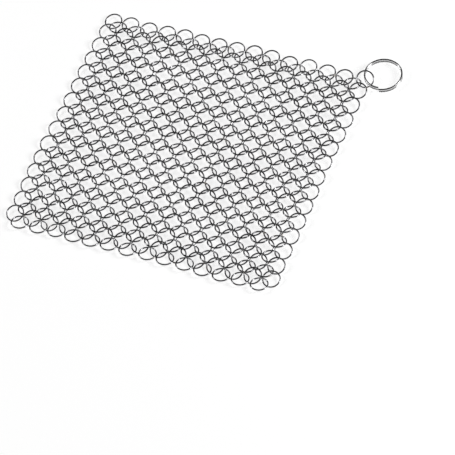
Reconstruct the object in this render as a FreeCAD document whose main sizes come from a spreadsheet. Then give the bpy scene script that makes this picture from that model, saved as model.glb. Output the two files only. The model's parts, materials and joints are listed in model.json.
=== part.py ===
"""Ring-mail pot scrubber: rows of linked wire rings and a two-turn hanging ring at one corner."""
import FreeCAD, Part
import math
import os

# Driving dimensions in millimetres, angles in degrees, shares and counts as plain numbers
SIZES = {
    "ring_outer_diameter": 11.4,
    "wire_diameter": 1.0,
    "side_gap": 0.6,
    "link_gap": 0.15,
    "row_ride": 0.1,
    "row_tilt_angle": 18,
    "row_count": 30,
    "rings_across_count": 15,
    "floor_row_count_step": 4,
    "corner_lean_angle": 27.6,
    "corner_bearing_angle": -70,
    "corner_side_share": 0.066,
    "corner_near_share": 0.388,
    "hang_outer_diameter": 24,
    "hang_wire_diameter": 1.3,
    "hang_turn_gap": 0.45,
    "hang_half_turn_count": 4,
    "hang_bearing_angle": 24.3,
    "hang_start_angle": -84,
    "hang_reach_share": 0.945,
}
LINK_SAMPLE_COUNT = 720
STRIP_STEP_COUNT = 400
STRIP_SHARES = (1.05, 1.45)
COIL_SAMPLE_COUNT = 90
X_AXIS = FreeCAD.Vector(1, 0, 0)
Y_AXIS = FreeCAD.Vector(0, 1, 0)
Z_AXIS = FreeCAD.Vector(0, 0, 1)


def make_sheet(doc):
    """Write every driving dimension into the spreadsheet under its own alias."""
    sheet = doc.addObject("Spreadsheet::Sheet", "Sizes")
    for line, (alias, value) in enumerate(SIZES.items(), start=1):
        sheet.set(f"A{line}", alias)
        sheet.set(f"B{line}", str(value))
        sheet.setAlias(f"B{line}", alias)
    doc.recompute()
    return sheet


def level(bearing):
    """Level direction at a bearing in degrees, counted from +X towards +Y."""
    turn = math.radians(bearing)
    return FreeCAD.Vector(math.cos(turn), math.sin(turn), 0)


class Weave:
    """Places of the rows and rings, worked out from the spreadsheet's dimensions."""

    def __init__(self, sheet):
        self.wire_radius = sheet.wire_diameter / 2
        self.ring_radius = sheet.ring_outer_diameter / 2 - self.wire_radius
        self.ring_pitch = sheet.ring_outer_diameter + sheet.side_gap
        self.ride = sheet.row_ride
        self.tilt = math.radians(sheet.row_tilt_angle)
        self.row_count = int(sheet.row_count)
        self.rings_across = int(sheet.rings_across_count)
        self.floor_step = int(sheet.floor_row_count_step)
        self.row_pitch = self.longest_strip(sheet.link_gap) * math.cos(self.tilt)

    def link_gap_at(self, strip):
        """Least gap between the wires of two linked rings whose rows are one strip apart."""
        radius = self.ring_radius
        rise, run = math.sin(self.tilt), math.cos(self.tilt)
        gaps = []
        for step in range(LINK_SAMPLE_COUNT):
            turn = 2 * math.pi * step / LINK_SAMPLE_COUNT
            across = radius * math.cos(turn) - self.ring_pitch / 2
            along = radius * math.sin(turn) * run + strip * run
            up = radius * math.sin(turn) * rise - self.ride
            in_plane = along * run - up * rise
            off_plane = along * rise + up * run
            gaps.append(math.hypot(math.hypot(across, in_plane) - radius, off_plane))
        return min(gaps) - 2 * self.wire_radius

    def longest_strip(self, link_gap):
        """Widest step between rows that still leaves the link gap, or the roomiest step there is."""
        low, high = (share * self.ring_radius for share in STRIP_SHARES)
        strips = [low + (high - low) * step / STRIP_STEP_COUNT for step in range(STRIP_STEP_COUNT + 1)]
        gaps = {strip: self.link_gap_at(strip) for strip in strips}
        roomy = [strip for strip in strips if gaps[strip] >= link_gap]
        return max(roomy) if roomy else max(strips, key=gaps.get)

    def standing_height(self, lean):
        """Height of a ring's centre when it leans and its low edge is on the floor."""
        return self.ring_radius * math.sin(lean) + self.wire_radius

    def ring_count(self, row):
        """Every second row has one ring less, set half a pitch over."""
        return self.rings_across - row % 2

    def ring_x(self, row, ring):
        """Place of a ring along its row, from the middle of the sheet."""
        return (ring - (self.ring_count(row) - 1) / 2) * self.ring_pitch

    def row_y(self, row):
        """Place of a row, from the middle of the sheet, the first row at the far edge."""
        return ((self.row_count - 1) / 2 - row) * self.row_pitch

    def row_z(self, row):
        """Height of a row: it rides a little higher the further it is from a row on the floor."""
        past = row % self.floor_step
        return self.standing_height(self.tilt) + self.ride * min(past, self.floor_step - past)

    def row_turn(self, row):
        """Rows lean to and fro in turn, the first with its far side up."""
        lean = self.tilt if row % 2 == 0 else -self.tilt
        return FreeCAD.Rotation(X_AXIS, math.degrees(lean))

    def corner(self):
        """Regular place of the far right ring, which carries the hanging ring."""
        return FreeCAD.Vector(self.ring_x(0, self.rings_across - 1), self.row_y(0), self.row_z(0))

    def half_depth(self):
        """From the middle of the sheet to its far or near edge."""
        return self.row_y(0) + self.ring_radius * math.cos(self.tilt) + self.wire_radius

    def half_width(self):
        """From the middle of the sheet to its left or right edge."""
        return self.ring_x(0, self.rings_across - 1) + self.ring_radius + self.wire_radius


class Coil:
    """The hanging ring: half turns of one wire, flat on the floor and threaded through the corner ring."""

    def __init__(self, sheet, weave):
        self.wire_radius = sheet.hang_wire_diameter / 2
        self.outer_radius = sheet.hang_outer_diameter / 2
        self.radius = self.outer_radius - self.wire_radius
        self.pitch = sheet.hang_wire_diameter + sheet.hang_turn_gap
        self.half_turns = int(sheet.hang_half_turn_count)
        self.half_height = self.half_turns * self.pitch / 4
        self.rotation = FreeCAD.Rotation(Z_AXIS, sheet.hang_start_angle)
        reach = self.radius * sheet.hang_reach_share
        self.centre = weave.corner() + level(sheet.hang_bearing_angle) * reach
        self.centre.z = self.half_height + self.wire_radius

    def point(self, turn):
        """Point of the wire's centre line at an angle, in the ring's own axes."""
        half = min(int(turn / math.pi), self.half_turns - 1)
        climb = half + (1 - math.cos(turn - half * math.pi)) / 2
        rise = climb * self.pitch / 2 - self.half_height
        return FreeCAD.Vector(self.radius * math.cos(turn), self.radius * math.sin(turn), rise)

    def shape(self):
        """Round wire along half-turn arcs that leave and meet each other level."""
        arcs = []
        for half in range(self.half_turns):
            first, last = self.point(half * math.pi), self.point((half + 1) * math.pi)
            side = Y_AXIS if half % 2 == 0 else -Y_AXIS
            middle = (first + last) / 2 + side * (first.distanceToPoint(last) / 2)
            arcs.append(Part.Arc(first, middle, last).toShape())
        section = Part.Wire(Part.makeCircle(self.wire_radius, self.point(0), Y_AXIS))
        return Part.Wire(arcs).makePipeShell([section], True, False)

    def self_gap(self):
        """Least gap between one turn of the wire and the next."""
        count = COIL_SAMPLE_COUNT * self.half_turns
        points = [self.point(self.half_turns * math.pi * step / count) for step in range(count + 1)]
        pairs = ((a, b) for i, a in enumerate(points) for b in points[i + COIL_SAMPLE_COUNT:])
        return min(a.distanceToPoint(b) for a, b in pairs) - 2 * self.wire_radius


def corner_placement(sheet, weave):
    """Place of the corner ring, which the hanging ring turns and draws aside; it leans on the floor."""
    lean = sheet.corner_lean_angle
    bearing = level(sheet.corner_bearing_angle)
    aside = FreeCAD.Vector(sheet.corner_side_share, -sheet.corner_near_share, 0) * weave.ring_radius
    place = weave.corner() + aside
    place.z = weave.standing_height(math.radians(lean))
    return FreeCAD.Placement(place, FreeCAD.Rotation(Z_AXIS.cross(bearing), lean))


def make_row(doc, weave, row):
    """One row: a ring per place, all in the row's leaning plane."""
    rings = []
    for ring in range(weave.ring_count(row)):
        torus = doc.addObject("Part::Torus", f"Ring_{row + 1:02d}_{ring + 1:02d}")
        torus.setExpression("Radius1", "(Sizes.ring_outer_diameter - Sizes.wire_diameter) / 2")
        torus.setExpression("Radius2", "Sizes.wire_diameter / 2")
        torus.Placement.Base = FreeCAD.Vector(weave.ring_x(row, ring), 0, 0)
        rings.append(torus)
    group = doc.addObject("Part::Compound", f"Row_{row + 1:02d}")
    group.Label = f"ring_row_{row + 1:02d}"
    group.Links = rings
    place = FreeCAD.Vector(0, weave.row_y(row), weave.row_z(row))
    group.Placement = FreeCAD.Placement(place, weave.row_turn(row))
    return group


def make_hanging_ring(doc, coil):
    """The two-turn ring at the far right corner."""
    ring = doc.addObject("Part::Feature", "Hanging")
    ring.Label = "hanging_ring"
    ring.Shape = coil.shape()
    ring.Placement = FreeCAD.Placement(coil.centre, coil.rotation)
    return ring


def find_middle(weave, coil):
    """Middle of the whole part seen from above, the frame's origin on the floor."""
    right = max(weave.half_width(), coil.centre.x + coil.outer_radius)
    far = max(weave.half_depth(), coil.centre.y + coil.outer_radius)
    return FreeCAD.Vector((right - weave.half_width()) / 2, (far - weave.half_depth()) / 2, 0)


def check(doc, pieces):
    """Stop unless every object was built and every piece is a valid shape."""
    for item in doc.Objects:
        if {"Invalid", "Error"} & set(item.State):
            raise RuntimeError(f"{item.Label} was not built")
    for piece in pieces:
        if piece.Shape.isNull() or not piece.Shape.isValid():
            raise RuntimeError(f"{piece.Label} has no valid shape")


def write(pieces):
    """Write each piece to a file of its own name."""
    os.makedirs("parts", exist_ok=True)
    for piece in pieces:
        piece.Shape.exportStep(f"parts/{piece.Label}.step")


def main():
    """Build the rows and the hanging ring, check them and write them."""
    doc = FreeCAD.newDocument("PotScrubber")
    sheet = make_sheet(doc)
    weave = Weave(sheet)
    coil = Coil(sheet, weave)
    pieces = [make_row(doc, weave, row) for row in range(weave.row_count)]
    corner_ring = pieces[0].Links[-1]
    corner_ring.Placement = pieces[0].Placement.inverse() * corner_placement(sheet, weave)
    pieces.append(make_hanging_ring(doc, coil))
    middle = find_middle(weave, coil)
    for piece in pieces:
        piece.Placement.Base = piece.Placement.Base - middle
    doc.recompute()
    check(doc, pieces)
    write(pieces)
    width, depth = 2 * weave.half_width(), 2 * weave.half_depth()
    print(f"row pitch {weave.row_pitch:.9f} mm, sheet {width:.1f} x {depth:.1f} mm")
    print(f"hanging ring: least gap to itself {coil.self_gap():.2f} mm")
    print(f"hanging ring centre {coil.centre - middle}, middle of the part {middle}")


main()
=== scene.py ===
"""Pot scrubber of linked steel rings: its wire rings, their finish, the studio and the camera."""

import json
import logging
import math
from dataclasses import dataclass, field
from enum import Enum

import bmesh
import bpy
import numpy as np
from mathutils import Matrix, Vector


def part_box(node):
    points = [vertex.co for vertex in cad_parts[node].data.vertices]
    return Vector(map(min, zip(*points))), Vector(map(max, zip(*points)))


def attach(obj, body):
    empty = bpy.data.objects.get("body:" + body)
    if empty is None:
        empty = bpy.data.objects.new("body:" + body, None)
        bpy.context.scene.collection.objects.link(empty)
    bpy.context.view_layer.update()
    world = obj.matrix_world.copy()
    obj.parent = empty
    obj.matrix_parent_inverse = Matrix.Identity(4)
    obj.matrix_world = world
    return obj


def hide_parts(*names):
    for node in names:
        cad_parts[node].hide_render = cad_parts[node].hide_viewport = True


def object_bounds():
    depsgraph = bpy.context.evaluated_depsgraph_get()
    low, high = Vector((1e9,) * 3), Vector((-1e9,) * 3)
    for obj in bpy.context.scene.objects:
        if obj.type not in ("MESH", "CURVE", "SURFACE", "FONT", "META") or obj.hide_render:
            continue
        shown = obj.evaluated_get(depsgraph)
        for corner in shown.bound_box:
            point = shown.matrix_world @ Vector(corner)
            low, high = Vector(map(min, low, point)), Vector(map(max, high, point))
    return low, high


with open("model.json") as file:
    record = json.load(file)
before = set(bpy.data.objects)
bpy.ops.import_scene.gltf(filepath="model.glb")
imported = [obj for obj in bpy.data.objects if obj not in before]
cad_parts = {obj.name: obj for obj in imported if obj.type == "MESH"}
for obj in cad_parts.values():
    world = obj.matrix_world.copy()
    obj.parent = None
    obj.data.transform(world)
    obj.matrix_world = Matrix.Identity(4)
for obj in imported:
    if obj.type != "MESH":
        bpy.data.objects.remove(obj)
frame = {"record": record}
CAD_LOW, CAD_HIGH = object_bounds()
BODY_OF = {node: body for body, nodes in frame["record"]["behaviour"]["bodies"].items() for node in nodes}

LOG = logging.getLogger("pot_scrubber")
MM = 0.001
PICTURE_PIXELS = 455
FULL_TURN = 2.0 * math.pi
SMALL_TURN = 1e-12
SMALL_LENGTH = 1e-9
Colour = tuple[float, float, float, float]


def grey(level: float) -> Colour:
    """Grey of a level, as a colour."""
    return (level, level, level, 1.0)


def add_piece(mesh: bpy.types.Mesh, material: bpy.types.Material) -> bpy.types.Object:
    """Add a dressed mesh to the scene.

    Args:
        mesh: The mesh, in its place.
        material: Its material.

    Returns:
        The object, named as the mesh is.
    """
    mesh.materials.append(material)
    piece = bpy.data.objects.new(mesh.name, mesh)
    bpy.context.scene.collection.objects.link(piece)
    return piece


class Socket:
    """A shader node's output, with the arithmetic that the finishes use."""

    def __init__(self, shader: "Shader", link: bpy.types.NodeSocket) -> None:
        """Keep the output and the shader that it belongs to."""
        self.shader = shader
        self.link = link

    def _math(self, operation: str, first: object, second: object = None) -> "Socket":
        """Add one Math node, with a second value where the operation takes one."""
        values = {0: first} if second is None else {0: first, 1: second}
        return self.shader.node("ShaderNodeMath", {"operation": operation}, values)

    def __add__(self, other: object) -> "Socket":
        """Sum with a value or socket."""
        return self._math("ADD", self, other)

    def __radd__(self, other: object) -> "Socket":
        """Sum with a value on the left."""
        return self._math("ADD", other, self)

    def __sub__(self, other: object) -> "Socket":
        """Difference from a value or socket."""
        return self._math("SUBTRACT", self, other)

    def __rsub__(self, other: object) -> "Socket":
        """Difference of a value on the left."""
        return self._math("SUBTRACT", other, self)

    def __mul__(self, other: object) -> "Socket":
        """Product with a value or socket."""
        return self._math("MULTIPLY", self, other)

    def __rmul__(self, other: object) -> "Socket":
        """Product with a value on the left."""
        return self._math("MULTIPLY", other, self)

    def __abs__(self) -> "Socket":
        """Absolute value."""
        return self._math("ABSOLUTE", self)

    def most(self, other: object) -> "Socket":
        """Larger of two values."""
        return self._math("MAXIMUM", self, other)

    def ramp(self, low: float, high: float) -> "Socket":
        """Smooth step between two values.

        Args:
            low: Where the step leaves 0.
            high: Where it reaches 1.

        Returns:
            The step's height.
        """
        settings = {"interpolation_type": "SMOOTHSTEP", "clamp": True}
        values = {"Value": self, "From Min": low, "From Max": high}
        return self.shader.node("ShaderNodeMapRange", settings, values)


class Shader:
    """A node tree that is written as expressions."""

    def __init__(self, tree: bpy.types.NodeTree) -> None:
        """Start from an empty tree."""
        self.tree = tree
        tree.nodes.clear()

    def node(
        self,
        kind: str,
        settings: dict[str, object],
        values: dict[object, object],
        out: object = 0,
    ) -> Socket:
        """Add any node.

        Args:
            kind: The node's type.
            settings: The node's own properties, set first.
            values: Values or sockets for the inputs, by name or number.
            out: Name or number of the output that is wanted.

        Returns:
            That output.
        """
        made = self.tree.nodes.new(kind)
        for name, value in settings.items():
            setattr(made, name, value)
        for name, value in values.items():
            if isinstance(value, Socket):
                self.tree.links.new(value.link, made.inputs[name])
            else:
                made.inputs[name].default_value = value
        return Socket(self, made.outputs[out] if len(made.outputs) else None)

    def mix_colour(self, factor: object, first: object, second: object) -> Socket:
        """Mix two colours or sockets, by the share of the second."""
        return self.node("ShaderNodeMix", {"data_type": "RGBA"}, {0: factor, 6: first, 7: second}, 2)


class Gloss(Enum):
    """How far a wire was polished, as its lowest roughness."""

    TUMBLED = 0.08
    SATIN = 0.2


@dataclass(frozen=True)
class SteelFinish:
    """Stainless wire: drawn lines along it, tumbling marks, and a weld where a ring closes."""

    name: str
    gloss: Gloss
    bright: Colour = (0.54, 0.54, 0.55, 1.0)
    dull: Colour = (0.20, 0.20, 0.21, 1.0)
    weld: Colour = (0.30, 0.27, 0.24, 1.0)
    weld_share: float = 0.03
    weld_strength: float = 0.7
    lines_round: float = 26.0
    lines_along: float = 5.0
    lines_ring: float = 37.0
    lines_detail: float = 3.0
    mark_scale: float = 420.0
    mark_detail: float = 4.0
    mark_range: tuple[float, float] = (0.45, 0.7)
    tone_share: float = 0.7
    mark_share: float = 0.3
    mark_rough: float = 0.10
    line_rough: float = 0.05
    weld_rough: float = 0.18
    bump_strength: float = 0.35
    bump_height: float = 0.02 * MM
    bump_marks: float = 0.5

    def material(self) -> bpy.types.Material:
        """Make the finish's material.

        Returns:
            The material, which reads the wire's own map and the ring's tone.
        """
        made = bpy.data.materials.new(self.name)
        made.use_nodes = True
        shader = Shader(made.node_tree)
        tone = shader.node("ShaderNodeAttribute", {"attribute_name": "ring_tone"}, {}, "Fac")
        wire = shader.node("ShaderNodeUVMap", {"uv_map": "wire"}, {})
        along = shader.node("ShaderNodeSeparateXYZ", {}, {0: wire}, "X")
        across = shader.node("ShaderNodeSeparateXYZ", {}, {0: wire}, "Y")
        stretched = shader.node(
            "ShaderNodeCombineXYZ",
            {},
            {0: along * self.lines_along, 1: across * self.lines_round, 2: tone * self.lines_ring},
        )
        lines = shader.node(
            "ShaderNodeTexNoise",
            {},
            {"Vector": stretched, "Scale": 1.0, "Detail": self.lines_detail},
        )
        place = shader.node("ShaderNodeTexCoord", {}, {}, "Object")
        marks = shader.node(
            "ShaderNodeTexNoise",
            {},
            {"Vector": place, "Scale": self.mark_scale, "Detail": self.mark_detail},
        )
        weld = (abs(along - 0.5) * 2.0).ramp(1.0 - 2.0 * self.weld_share, 1.0 - self.weld_share)
        dulling = tone * self.tone_share + marks.ramp(*self.mark_range) * self.mark_share
        shade = shader.mix_colour(dulling, self.bright, self.dull)
        colour = shader.mix_colour(weld * self.weld_strength, shade, self.weld)
        rough = self.gloss.value + marks * self.mark_rough + lines * self.line_rough + weld * self.weld_rough
        height = lines + marks * self.bump_marks
        bump = shader.node(
            "ShaderNodeBump",
            {},
            {"Strength": self.bump_strength, "Distance": self.bump_height, "Height": height},
        )
        steel = shader.node(
            "ShaderNodeBsdfPrincipled",
            {},
            {"Base Color": colour, "Metallic": 1.0, "Roughness": rough, "Normal": bump},
        )
        shader.node("ShaderNodeOutputMaterial", {}, {"Surface": steel})
        return made


@dataclass
class WireRing:
    """One welded ring of round wire, with few faces that a subdivision rounds off."""

    outer_diameter: float = 11.4 * MM
    wire_diameter: float = 1.0 * MM
    steps_round: int = 12
    wire_sides: int = 4
    smooth_levels: int = 2
    merge_share: float = 0.01

    @property
    def wire_radius(self) -> float:
        """Half of the wire's thickness."""
        return self.wire_diameter / 2.0

    @property
    def mean_radius(self) -> float:
        """Radius of the wire's middle line."""
        return (self.outer_diameter - self.wire_diameter) / 2.0

    @staticmethod
    def smoothed_share(count: int) -> float:
        """Share of its radius that a ring of so many points keeps when it is smoothed.

        Args:
            count: Points round the ring.

        Returns:
            Radius after smoothing, as a share.
        """
        # The points of a smoothed polygon and the points between them, on the curve that it tends to
        at_point = (4.0 + 2.0 * math.cos(FULL_TURN / count)) / 6.0
        half = math.pi / count
        between = (46.0 * math.cos(half) + 2.0 * math.cos(3.0 * half)) / 48.0
        return (at_point + between) / 2.0

    def mesh(self) -> bpy.types.Mesh:
        """Make the ring about the origin, flat on XY.

        Returns:
            Its mesh, with the map along and round the wire.
        """
        made = bmesh.new()
        thick = self.wire_radius / self.smoothed_share(self.wire_sides)
        reach = self.mean_radius / self.smoothed_share(self.steps_round)
        section = bmesh.ops.create_circle(made, segments=self.wire_sides, radius=thick)["verts"]
        stand = Matrix.Translation((reach, 0.0, 0.0)) @ Matrix.Rotation(math.pi / 2.0, 4, "X")
        bmesh.ops.transform(made, matrix=stand, verts=section)
        bmesh.ops.spin(
            made,
            geom=made.verts[:] + made.edges[:],
            cent=(0.0, 0.0, 0.0),
            axis=(0.0, 0.0, 1.0),
            angle=FULL_TURN,
            steps=self.steps_round,
            use_merge=True,
        )
        bmesh.ops.remove_doubles(made, verts=made.verts[:], dist=self.wire_radius * self.merge_share)
        bmesh.ops.recalc_face_normals(made, faces=made.faces[:])
        chart = made.loops.layers.uv.new("wire")
        for face in made.faces:
            middle = face.calc_center_median()
            base_turn = math.atan2(middle.y, middle.x)
            base_side = math.atan2(middle.z, math.hypot(middle.x, middle.y) - reach)
            for loop in face.loops:
                spot = loop.vert.co
                turn = math.atan2(spot.y, spot.x) - base_turn
                side = math.atan2(spot.z, math.hypot(spot.x, spot.y) - reach) - base_side
                turn = math.remainder(turn, FULL_TURN) + base_turn
                side = math.remainder(side, FULL_TURN) + base_side
                loop[chart].uv = (turn / FULL_TURN + 0.5, side / FULL_TURN + 0.5)
            face.smooth = True
        ring = bpy.data.meshes.new("wire_ring")
        made.to_mesh(ring)
        made.free()
        return ring


@dataclass
class MailSheet:
    """The sheet: rows of rings that link the row before and the row after, laid on a table."""

    ring: WireRing
    finish: SteelFinish
    row_count: int = 30
    rings_across: int = 15
    corner_lean: float = math.radians(27.6)
    corner_bearing: float = math.radians(-70.0)
    corner_side_share: float = 0.066
    corner_near_share: float = 0.388
    seed: int = 3
    lean_spread: float = math.radians(3.0)
    shift_spread: float = 0.15 * MM
    edge_play: float = 2.8
    edge_depth: float = 10.0 * MM
    bunch_left_near: tuple[float, float] = (1.8 * MM, 1.2 * MM)
    bunch_right_far: tuple[float, float] = (1.6 * MM, 2.8 * MM)
    bunch_depth: float = 6.0 * MM
    wave_lengths: tuple[float, ...] = (130.0 * MM, 75.0 * MM, 47.0 * MM)
    wave_share: float = 0.004
    rise_share: float = 0.3
    spin_share: float = 0.5
    least_gap: float = 0.08 * MM
    push_ease: float = 0.7
    sink_step: float = 0.01 * MM
    shake_steps: int = 240
    rest_steps: int = 260
    samples_round: int = 48
    key: list[tuple[int, int]] = field(default_factory=list)
    centre: np.ndarray = field(default_factory=lambda: np.zeros((0, 3)))
    turn: np.ndarray = field(default_factory=lambda: np.zeros((0, 3, 3)))

    def count(self, row: int) -> int:
        """Rings in a row, counted from 0 at the far edge."""
        return self.rings_across - row % 2

    @staticmethod
    def node(row: int) -> str:
        """Name of a row's node."""
        return f"ring_row_{row + 1:02d}"

    def read_places(self) -> None:
        """Take each ring's place from its row's box in the frame."""
        boxes = [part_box(self.node(row)) for row in range(self.row_count)]
        low, high = boxes[1]
        rise = (high.z - low.z) / 2.0 - self.ring.wire_radius
        lean = math.asin(rise / self.ring.mean_radius)
        middles = [(low + high) / 2.0 for low, high in boxes]
        # The corner ring is drawn aside, so the first row's place follows from the rows after it
        middles[0] = Vector((middles[0].x, 2.0 * middles[1].y - middles[2].y, middles[4].z))
        spots: list[Vector] = []
        turns: list[Matrix] = []
        for row in range(self.row_count):
            first = boxes[row][0].x + self.ring.outer_diameter / 2.0
            low, high = boxes[2 + row % 2]
            width = high.x - low.x - self.ring.outer_diameter
            pitch = width / (self.count(row) - 1)
            for place in range(self.count(row)):
                self.key.append((row, place))
                spots.append(Vector((first + place * pitch, middles[row].y, middles[row].z)))
                turns.append(Matrix.Rotation(lean if row % 2 == 0 else -lean, 3, "X"))
        corner = self.corner
        reach = self.ring.mean_radius
        spots[corner] += Vector((self.corner_side_share, -self.corner_near_share, 0.0)) * reach
        spots[corner].z = reach * math.sin(self.corner_lean) + self.ring.wire_radius
        lean_axis = self.corner_bearing + math.pi / 2.0
        level_axis = Vector((math.cos(lean_axis), math.sin(lean_axis), 0.0))
        turns[corner] = Matrix.Rotation(self.corner_lean, 3, level_axis)
        self.centre = np.array(spots)
        self.turn = np.array([np.array(turn) for turn in turns])

    @property
    def corner(self) -> int:
        """Number of the ring that carries the split ring."""
        return self.key.index((0, self.rings_across - 1))

    def neighbours(self) -> np.ndarray:
        """Pairs of rings that are linked or lie next to each other.

        Returns:
            Two ring numbers for each pair.
        """
        number = {key: index for index, key in enumerate(self.key)}
        pairs: list[tuple[int, int]] = []
        for (row, place), index in number.items():
            left = place - (1 - row % 2)
            near = [(row, place + 1), (row + 1, left), (row + 1, left + 1)]
            near += [(row + 2, place - 1), (row + 2, place), (row + 2, place + 1)]
            pairs += [(index, number[key]) for key in near if key in number]
        return np.array(pairs)

    def tilt(self, angles: np.ndarray) -> None:
        """Turn every ring in its place.

        Args:
            angles: Each ring's rotation vector.
        """
        size = np.linalg.norm(angles, axis=1, keepdims=True)
        axis = angles / np.maximum(size, SMALL_TURN)
        cross = np.zeros((len(angles), 3, 3))
        cross[:, 0, 1], cross[:, 0, 2], cross[:, 1, 2] = -axis[:, 2], axis[:, 1], -axis[:, 0]
        cross -= np.transpose(cross, (0, 2, 1))
        sine, cosine = np.sin(size)[:, :, None], np.cos(size)[:, :, None]
        self.turn = (np.eye(3) + sine * cross + (1.0 - cosine) * (cross @ cross)) @ self.turn

    def push(self, ring: np.ndarray, arm: np.ndarray, way: np.ndarray) -> tuple[np.ndarray, np.ndarray]:
        """How a push on a ring's wire shares between moving and turning it.

        Args:
            ring: Ring numbers.
            arm: From each ring's middle to the pushed point.
            way: Direction of each push.

        Returns:
            Turn for a push of one unit, and the ring's give along the push.
        """
        normal = self.turn[ring][:, :, 2]
        moment = np.cross(arm, way)
        about = (moment * normal).sum(-1, keepdims=True) * normal
        turning = (2.0 * moment - about) / self.ring.mean_radius**2
        return turning, 1.0 + (moment * turning).sum(-1)

    def part_wires(self, first: np.ndarray, second: np.ndarray) -> float:
        """Push apart the neighbours whose wires come too close.

        Args:
            first: Ring numbers.
            second: Their neighbours' numbers.

        Returns:
            The deepest that one wire was in another, or less than 0 where none was.
        """
        reach = self.ring.mean_radius
        # Points round each first ring, and the point of the neighbour's middle line that is nearest to each
        angle = np.linspace(0.0, FULL_TURN, self.samples_round, endpoint=False)[None, :, None]
        across, along = self.turn[first][:, None, :, 0], self.turn[first][:, None, :, 1]
        arm = reach * (np.cos(angle) * across + np.sin(angle) * along)
        offset = arm + (self.centre[first] - self.centre[second])[:, None]
        normal = self.turn[second][:, None, :, 2]
        flat = offset - (offset * normal).sum(-1, keepdims=True) * normal
        near = flat * (reach / np.linalg.norm(flat, axis=-1, keepdims=True))
        gap = offset - near
        distance = np.linalg.norm(gap, axis=-1)
        pick = (np.arange(len(first)), distance.argmin(axis=1))
        deep = self.ring.wire_diameter + self.least_gap - distance[pick]
        deepest = float(deep.max()) - self.least_gap
        # Pairs that are too close share the push by how easily each ring gives way
        hit = deep > 0.0
        way = (gap[pick] / distance[pick][:, None])[hit]
        first, second, deep = first[hit], second[hit], deep[hit]
        turn_first, give_first = self.push(first, arm[pick][hit], way)
        turn_second, give_second = self.push(second, near[pick][hit], -way)
        size = (deep / (give_first + give_second))[:, None]
        move, spin = np.zeros_like(self.centre), np.zeros_like(self.centre)
        touches = np.zeros(len(self.centre))
        np.add.at(move, first, size * way)
        np.add.at(move, second, -size * way)
        np.add.at(spin, first, size * turn_first)
        np.add.at(spin, second, size * turn_second)
        np.add.at(touches, first, 1.0)
        np.add.at(touches, second, 1.0)
        ease = (self.push_ease / np.sqrt(np.maximum(touches, 1.0)))[:, None]
        self.centre += move * ease
        self.tilt(spin * ease)
        return deepest

    def keep_inside(self) -> None:
        """Push back the rings that have sunk into the table or stick out of the part's box."""
        everyone = np.arange(len(self.centre))
        for axis, side in [(axis, side) for axis in range(3) for side in (1.0, -1.0)]:
            limit = CAD_HIGH[axis] if side > 0.0 else CAD_LOW[axis]
            way = np.zeros_like(self.centre)
            way[:, axis] = side
            normal = self.turn[:, :, 2]
            # From each ring's middle to its furthest point on this side
            arm = way - (way * normal).sum(-1, keepdims=True) * normal
            length = np.linalg.norm(arm, axis=1, keepdims=True)
            arm *= self.ring.mean_radius / np.maximum(length, SMALL_LENGTH)
            past = side * (self.centre[:, axis] + arm[:, axis] - limit) + self.ring.wire_radius
            turning, give = self.push(everyone, arm, -way)
            size = np.maximum(past, 0.0) / give
            self.centre[:, axis] -= side * size
            self.tilt(turning * size[:, None])

    def edges(self) -> tuple[np.ndarray, np.ndarray]:
        """How the outer rings lie: they hang on fewer links, so they are looser and bunch up.

        Returns:
            A factor for each ring's play, 1 in the middle of the sheet, and a shift towards the middle.
        """
        flat = self.centre[:, :2]
        past_low, past_high = flat - flat.min(axis=0), flat.max(axis=0) - flat
        inside = np.minimum(past_low, past_high).min(axis=1, keepdims=True)
        drawn = np.zeros_like(self.centre)
        drawn[:, :2] += self.bunch_left_near * np.exp(-past_low / self.bunch_depth)
        drawn[:, :2] -= self.bunch_right_far * np.exp(-past_high / self.bunch_depth)
        return 1.0 + self.edge_play * np.exp(-inside / self.edge_depth), drawn

    def wander(self, chance: np.random.Generator) -> np.ndarray:
        """Slow waves by which the rows stray from straight lines.

        Args:
            chance: Where the waves' directions and starts come from.

        Returns:
            A shift for each ring, level with the table.
        """
        shift = np.zeros_like(self.centre)
        for axis in (0, 1):
            for length in self.wave_lengths:
                bearing, start = chance.uniform(0.0, FULL_TURN, 2)
                along = self.centre[:, 0] * math.cos(bearing) + self.centre[:, 1] * math.sin(bearing)
                shift[:, axis] += self.wave_share * length * np.sin(FULL_TURN * along / length + start)
        return shift

    def settle(self) -> None:
        """Shake the rings a little and let them settle on the table without cutting each other."""
        chance = np.random.default_rng(self.seed)
        placed, turned = self.centre.copy(), self.turn.copy()
        amount = (len(self.key), 3)
        play, drawn = self.edges()
        shift = self.wander(chance) + drawn
        shift += play * chance.normal(0.0, self.shift_spread, amount) * np.array([1.0, 1.0, self.rise_share])
        lean = play * chance.normal(0.0, self.lean_spread, amount) * np.array([1.0, 1.0, self.spin_share])
        first, second = self.neighbours().T
        corner = self.corner
        for step in range(self.shake_steps + self.rest_steps):
            if step < self.shake_steps:
                self.centre += shift / self.shake_steps
                self.centre[:, 2] -= self.sink_step
                self.tilt(lean / self.shake_steps)
            deepest = self.part_wires(first, second)
            self.keep_inside()
            self.centre[corner], self.turn[corner] = placed[corner], turned[corner]
        furthest = np.linalg.norm(self.centre - placed, axis=1).max()
        LOG.info("settled: furthest from its place %.2f mm, deepest cut %.3f mm", furthest / MM, deepest / MM)

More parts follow.
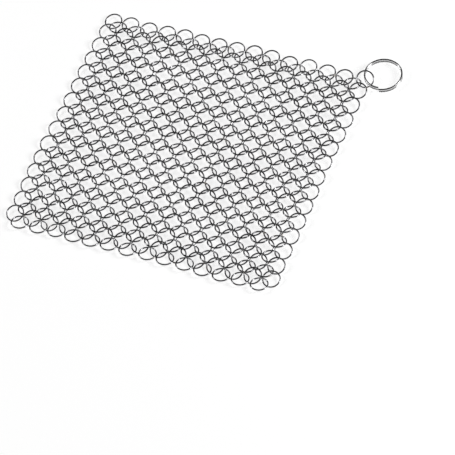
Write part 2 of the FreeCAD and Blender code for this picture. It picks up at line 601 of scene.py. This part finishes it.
    def build(self) -> None:
        """Make one piece for each row."""
        self.read_places()
        self.settle()
        material = self.finish.material()
        pattern = self.ring.mesh()
        chance = np.random.default_rng(self.seed + 1)
        for row in range(self.row_count):
            made = bmesh.new()
            tone = made.verts.layers.float.new("ring_tone")
            for index in [n for n, key in enumerate(self.key) if key[0] == row]:
                before = len(made.verts)
                made.from_mesh(pattern)
                made.verts.ensure_lookup_table()
                fresh = made.verts[before:]
                place = Matrix.Translation(self.centre[index]) @ Matrix(self.turn[index]).to_4x4()
                place = place @ Matrix.Rotation(chance.uniform(0.0, FULL_TURN), 4, "Z")
                bmesh.ops.transform(made, matrix=place, verts=fresh)
                shade = chance.uniform(0.0, 1.0)
                for vertex in fresh:
                    vertex[tone] = shade
            mesh = bpy.data.meshes.new(f"mail_row_{row + 1:02d}")
            made.to_mesh(mesh)
            made.free()
            piece = add_piece(mesh, material)
            rounding = piece.modifiers.new("round_wire", "SUBSURF")
            rounding.levels = rounding.render_levels = self.ring.smooth_levels
            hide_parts(self.node(row))
            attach(piece, BODY_OF[self.node(row)])
            LOG.info("%s: %d rings", piece.name, self.count(row))


@dataclass
class SplitRing:
    """The hanging ring: two turns of springy wire, which open at their ends."""

    finish: SteelFinish
    wire_diameter: float = 1.3 * MM
    start_angle: float = math.radians(-84.0)
    turns: float = 2.0
    steps_per_turn: int = 40
    wire_sides: int = 10
    end_round_share: float = 0.35
    end_round_steps: int = 2
    tone_value: float = 0.2

    def build(self) -> None:
        """Make the ring in the place of its node."""
        low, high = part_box("hanging_ring")
        centre = (low + high) / 2.0
        radius = self.wire_diameter / 2.0
        reach = (high.x - low.x) / 2.0 - radius
        rise = high.z - low.z - self.wire_diameter
        steps = round(self.turns * self.steps_per_turn)
        made = bmesh.new()
        section = bmesh.ops.create_circle(made, segments=self.wire_sides, radius=radius)["verts"]
        stand = Matrix.Translation((reach, 0.0, -rise / 2.0)) @ Matrix.Rotation(math.pi / 2.0, 4, "X")
        bmesh.ops.transform(made, matrix=stand, verts=section)
        bmesh.ops.spin(
            made,
            geom=made.verts[:] + made.edges[:],
            cent=(0.0, 0.0, 0.0),
            axis=(0.0, 0.0, 1.0),
            dvec=(0.0, 0.0, rise / steps),
            angle=FULL_TURN * self.turns,
            steps=steps,
        )
        bmesh.ops.holes_fill(made, edges=[edge for edge in made.edges if edge.is_boundary], sides=0)
        bmesh.ops.recalc_face_normals(made, faces=made.faces[:])
        rims = [edge for edge in made.edges if any(len(face.verts) > 4 for face in edge.link_faces)]
        bmesh.ops.bevel(
            made,
            geom=rims,
            offset=radius * self.end_round_share,
            segments=self.end_round_steps,
            profile=0.5,
            affect="EDGES",
            material=-1,
        )
        chart = made.loops.layers.uv.new("wire")
        tone = made.verts.layers.float.new("ring_tone")
        for vertex in made.verts:
            vertex[tone] = self.tone_value
        for face in made.faces:
            face.smooth = True
            middle = face.calc_center_median()
            base = math.atan2(middle.y, middle.x)
            # One turn takes half of the map, because the wire is wound in two
            for loop in face.loops:
                spot = loop.vert.co
                turn = math.remainder(math.atan2(spot.y, spot.x) - base, FULL_TURN) + base
                side = math.hypot(spot.x, spot.y) - reach
                loop[chart].uv = (0.25 + turn / (2.0 * FULL_TURN), 0.5 + side / self.wire_diameter)
        place = Matrix.Translation(centre) @ Matrix.Rotation(self.start_angle, 4, "Z")
        bmesh.ops.transform(made, matrix=place, verts=made.verts[:])
        mesh = bpy.data.meshes.new("split_ring")
        made.to_mesh(mesh)
        made.free()
        piece = add_piece(mesh, self.finish.material())
        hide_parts("hanging_ring")
        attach(piece, "hanging_ring")
        LOG.info("%s: %.1f mm across", piece.name, (high.x - low.x) / MM)


@dataclass(frozen=True)
class Lamp:
    """A square soft lamp that faces the part."""

    name: str
    place: tuple[float, float, float]
    side: float
    watts: float

    def hang(self) -> None:
        """Add the lamp to the scene."""
        data = bpy.data.lights.new(self.name, "AREA")
        data.size = self.side
        data.energy = self.watts
        lamp = bpy.data.objects.new(self.name, data)
        lamp.location = self.place
        lamp.rotation_euler = (-Vector(self.place)).to_track_quat("-Z", "Y").to_euler()
        bpy.context.scene.collection.objects.link(lamp)


@dataclass
class Studio:
    """White sweep, soft lamps above it, a dim room and the camera."""

    azimuth: float = math.radians(30.718)
    elevation: float = math.radians(53.108)
    roll: float = math.radians(-11.038)
    distance: float = 2.381
    aim: tuple[float, float, float] = (0.03607, -0.05222, 0.0)
    lens_pixels: float = 4000.0
    sensor: float = 36.0
    clip_start: float = 0.01
    table_radius: float = 3.0
    table_steps: int = 64
    table_grey: float = 0.9
    glow: float = 0.745
    rim_height: float = 0.25
    room_grey: float = 0.015
    lamps: tuple[Lamp, ...] = (
        Lamp("key_lamp", (1.9, 0.5, 1.1), 0.8, 18.0),
        Lamp("fill_lamp", (-1.9, -0.2, 1.3), 0.8, 10.0),
    )

    @staticmethod
    def seen(shader: Shader) -> Socket:
        """Tell the rays that show the table from those that only light the part.

        Args:
            shader: The table's node tree.

        Returns:
            1 for a ray from the camera, a reflection or a clear surface, otherwise 0.
        """
        camera = shader.node("ShaderNodeLightPath", {}, {}, "Is Camera Ray")
        glossy = shader.node("ShaderNodeLightPath", {}, {}, "Is Glossy Ray")
        through = shader.node("ShaderNodeLightPath", {}, {}, "Is Transmission Ray")
        return camera.most(glossy).most(through)

    def table(self) -> None:
        """Make the white table, which keeps a soft shadow."""
        material = bpy.data.materials.new("white_table")
        material.use_nodes = True
        shader = Shader(material.node_tree)
        plain = shader.node("ShaderNodeBsdfDiffuse", {}, {"Color": grey(self.table_grey)})
        glow = shader.node("ShaderNodeEmission", {}, {"Color": grey(self.glow), "Strength": 1.0})
        bright = shader.node("ShaderNodeAddShader", {}, {0: plain, 1: glow})
        both = shader.node("ShaderNodeMixShader", {}, {0: self.seen(shader), 1: plain, 2: bright})
        shader.node("ShaderNodeOutputMaterial", {}, {"Surface": both})
        made = bmesh.new()
        bmesh.ops.create_circle(made, cap_ends=True, segments=self.table_steps, radius=self.table_radius)
        border = [edge for edge in made.edges if edge.is_boundary]
        rim = bmesh.ops.extrude_edge_only(made, edges=border)["geom"]
        upper = [part for part in rim if isinstance(part, bmesh.types.BMVert)]
        bmesh.ops.translate(made, vec=(0.0, 0.0, self.rim_height), verts=upper)
        mesh = bpy.data.meshes.new("white_table")
        made.to_mesh(mesh)
        made.free()
        piece = add_piece(mesh, material)

    def world(self) -> None:
        """A dim room above the sweep."""
        world = bpy.data.worlds.new("dim_room")
        bpy.context.scene.world = world
        world.use_nodes = True
        shader = Shader(world.node_tree)
        room = shader.node("ShaderNodeBackground", {}, {"Color": grey(self.room_grey), "Strength": 1.0})
        shader.node("ShaderNodeOutputWorld", {}, {"Surface": room})

    def camera(self) -> None:
        """Set the camera at the picture's angle."""
        data = bpy.data.cameras.new("camera")
        data.sensor_width = self.sensor
        data.lens = self.lens_pixels / PICTURE_PIXELS * self.sensor
        data.clip_start = self.clip_start
        back = Vector(
            (
                math.sin(self.azimuth) * math.cos(self.elevation),
                -math.cos(self.azimuth) * math.cos(self.elevation),
                math.sin(self.elevation),
            )
        )
        right = Vector((math.cos(self.azimuth), math.sin(self.azimuth), 0.0))
        axes = Matrix((right, back.cross(right), back)).transposed()
        camera = bpy.data.objects.new("camera", data)
        camera.matrix_world = (
            Matrix.Translation(Vector(self.aim) + back * self.distance)
            @ (axes @ Matrix.Rotation(self.roll, 3, "Z")).to_4x4()
        )
        bpy.context.scene.collection.objects.link(camera)
        bpy.context.scene.camera = camera

    def build(self) -> None:
        """Set up the table, light and camera."""
        self.table()
        self.world()
        for lamp in self.lamps:
            lamp.hang()
        self.camera()
        bpy.context.scene.view_settings.view_transform = "Standard"


def main() -> None:
    """Build the sheet, its hanging ring and the studio, and note the sizes."""
    logging.basicConfig(level=logging.INFO, format="%(message)s")
    rings = SteelFinish("tumbled_steel", Gloss.TUMBLED)
    bright = SteelFinish(
        "bright_steel",
        Gloss.SATIN,
        bright=(0.78, 0.78, 0.78, 1.0),
        dull=(0.66, 0.66, 0.67, 1.0),
        weld_share=0.0001,
    )
    MailSheet(WireRing(), rings).build()
    SplitRing(bright).build()
    Studio().build()


if __name__ == "__main__":
    main()
